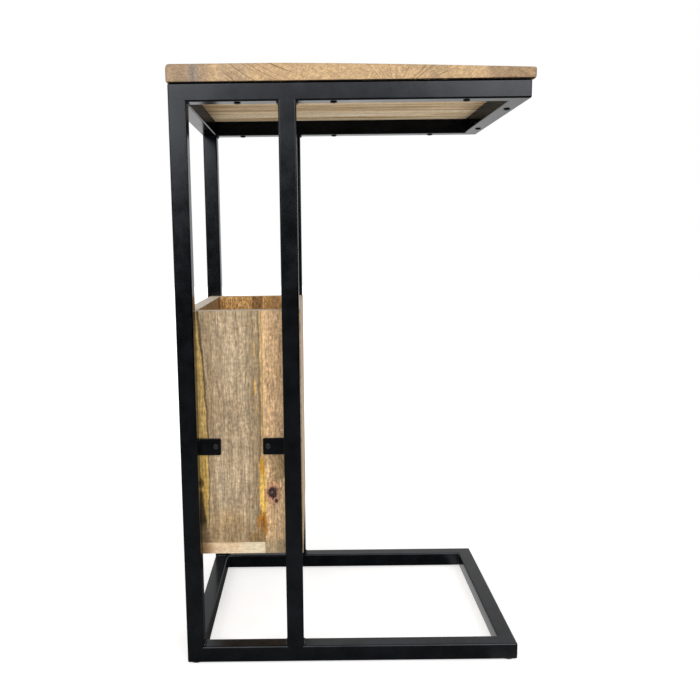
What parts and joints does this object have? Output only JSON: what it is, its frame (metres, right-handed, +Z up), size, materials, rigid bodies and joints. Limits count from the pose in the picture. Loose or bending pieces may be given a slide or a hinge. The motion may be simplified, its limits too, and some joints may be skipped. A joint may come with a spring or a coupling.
{
  "type": "side table",
  "caption": "C-shaped side table: a plank top on a square steel tube frame that is open at one end, with a wooden magazine box hung between its posts.",
  "frame": {"origin": "on the floor, under the middle of the table top", "axes": "+Z up; +X towards the open end of the C; -Y is the front"},
  "size_m": [0.406, 0.3, 0.7],
  "materials": {
    "black_steel": "black powder coat, satin, welds ground flush and painted over",
    "black_screw": "black phosphated pan head screws",
    "bare_screw": "countersunk steel screws, dark with a worn bright rim",
    "top_wood": "sanded mango planks, clear matt lacquer, eased edges",
    "grey_wood": "greyish tan mango with short dark pores, a yellow sapwood edge, matt",
    "box_wood": "warm tan mango, a small dark knot, matt",
    "pale_wood": "pale cream mango sapwood strip, matt",
    "black_rubber": "matt black pads"
  },
  "bodies": {
    "root": {"front_left_post": "black_steel", "front_middle_post": "black_steel", "rear_left_post": "black_steel", "rear_middle_post": "black_steel", "top_front_rail": "black_steel", "top_rear_rail": "black_steel", "top_left_rail": "black_steel", "top_right_rail": "black_steel", "base_front_rail": "black_steel", "base_rear_rail": "black_steel", "base_left_rail": "black_steel", "base_right_rail": "black_steel", "weld_beads": "black_steel", "front_left_tab": "black_steel", "front_right_tab": "black_steel", "rear_left_tab": "black_steel", "rear_right_tab": "black_steel", "tab_screws": "bare_screw", "top_screws": "black_screw", "top_front_plank": "top_wood", "top_middle_plank": "top_wood", "top_rear_plank": "top_wood", "box_front_wide_plank": "grey_wood", "box_front_narrow_plank": "box_wood", "box_front_strip": "pale_wood", "box_rear_wide_plank": "box_wood", "box_rear_narrow_plank": "box_wood", "box_left_front_plank": "box_wood", "box_left_rear_plank": "box_wood", "box_right_front_plank": "box_wood", "box_right_rear_plank": "box_wood", "box_bottom_board": "box_wood", "floor_glides": "black_rubber"}
  },
  "joints": []
}
